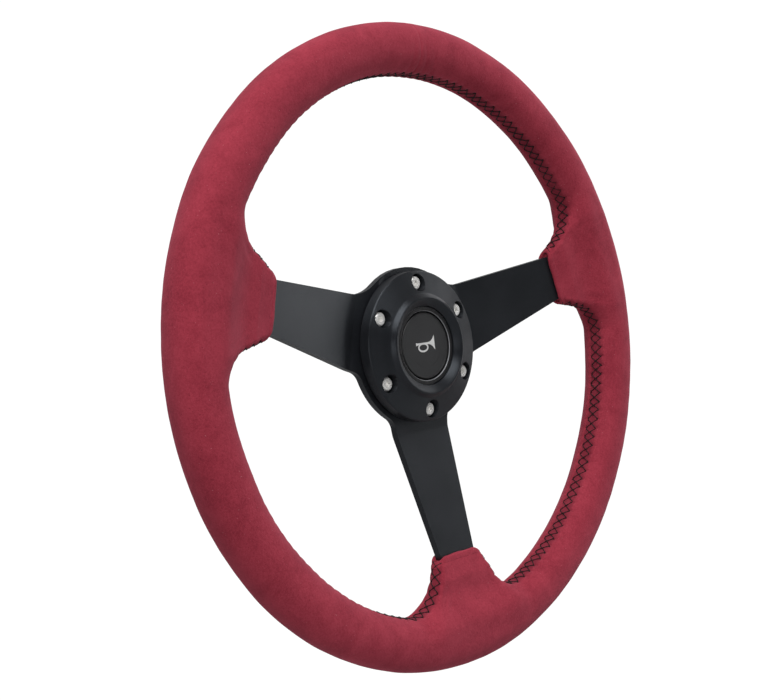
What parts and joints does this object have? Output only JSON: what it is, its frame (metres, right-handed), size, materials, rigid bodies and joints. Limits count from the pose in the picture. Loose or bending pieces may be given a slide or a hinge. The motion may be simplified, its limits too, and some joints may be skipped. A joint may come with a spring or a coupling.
{
  "type": "steering wheel",
  "caption": "Dished three-spoke sports steering wheel: suede-covered round rim with cross-stitching, black metal spokes, trim ring on a circle of bolts and a sprung horn button.",
  "frame": {"origin": "centre of the bolt circle on the mounting face, at the back of the hub plate", "axes": "+Y is the wheel's axis and points from the driver into the steering column; +Z is twelve o'clock; +X is the driver's right"},
  "size_m": [0.35, 0.0464, 0.35],
  "materials": {
    "suede": "matte",
    "thread": "matte",
    "foam": "matte",
    "spoke_metal": "satin",
    "ring_metal": "satin",
    "core_steel": "matte",
    "rivet_steel": "satin",
    "screw_steel": "satin",
    "spring_steel": "satin",
    "housing_plastic": "satin",
    "cap_plastic": "satin",
    "insulator": "satin",
    "brass": "satin",
    "badge_metal": "satin"
  },
  "bodies": {
    "wheel": {"spoke_frame": "spoke_metal", "rim_core": "core_steel", "rim_rivets": "rivet_steel", "rim_foam": "foam", "cover_left": "suede", "cover_right": "suede", "stitch_top": "thread", "stitch_lower_left": "thread", "stitch_lower_right": "thread", "trim_ring": "ring_metal", "hub_screws": "screw_steel", "horn_housing": "housing_plastic", "housing_screws": "rivet_steel", "contact_base": "insulator", "base_clip": "spring_steel", "contact_ring": "brass", "spring_seat": "brass", "signal_terminal": "brass", "ground_terminal": "brass", "signal_rivet": "brass", "ground_rivet": "brass", "horn_spring": "spring_steel"},
    "horn_button": {"horn_cap": "cap_plastic", "badge_disc": "badge_metal", "contact_plate": "brass", "plate_screws": "rivet_steel"}
  },
  "joints": [
    {"name": "horn_press", "type": "slide", "parent": "wheel", "child": "horn_button", "axis": [0, 1, 0], "range_m": [0, 0.002], "stiffness_N_per_m": 2500, "springref_m": -0.002, "deforming": ["horn_spring"]}
  ]
}
